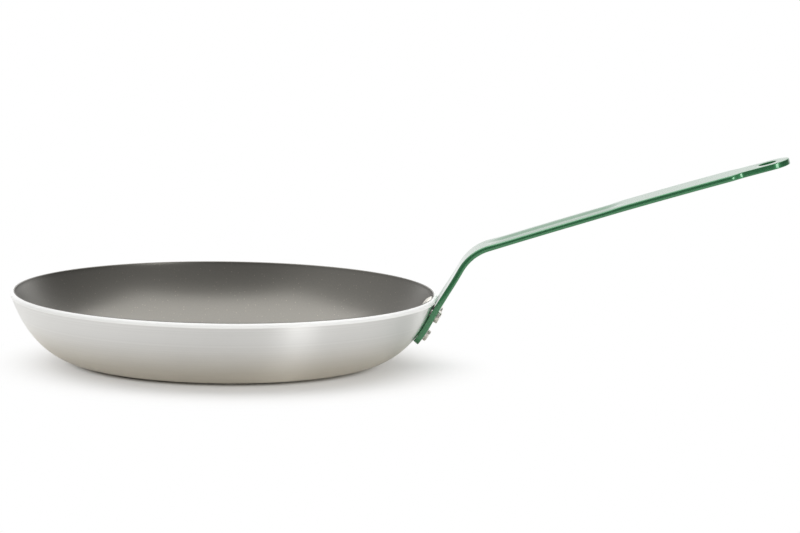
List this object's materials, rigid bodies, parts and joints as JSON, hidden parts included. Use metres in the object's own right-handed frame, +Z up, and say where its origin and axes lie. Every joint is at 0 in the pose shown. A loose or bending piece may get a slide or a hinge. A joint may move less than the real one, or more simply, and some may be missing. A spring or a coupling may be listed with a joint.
{
  "type": "frying pan",
  "caption": "Aluminium frying pan with a speckled grey nonstick inside and a riveted green-coated steel strap handle with a hanging hole.",
  "frame": {"origin": "centre of the flat base, on its underside", "axes": "+X from the pan's centre along the handle, +Y to the left of the handle, +Z up"},
  "size_m": [0.5079, 0.28, 0.1409],
  "materials": {
    "pan_aluminium": "lathe-turned satin, rim bead polished",
    "nonstick": "satin film with fine pale flecks",
    "green_epoxy": "glossy green epoxy on steel",
    "rivet_aluminium": "bright pressed"
  },
  "bodies": {
    "root": {"pan_body": "pan_aluminium", "nonstick_coating": "nonstick", "handle_strap": "green_epoxy", "rivet_near": "rivet_aluminium", "rivet_far": "rivet_aluminium", "rivet_low": "rivet_aluminium"}
  },
  "joints": []
}
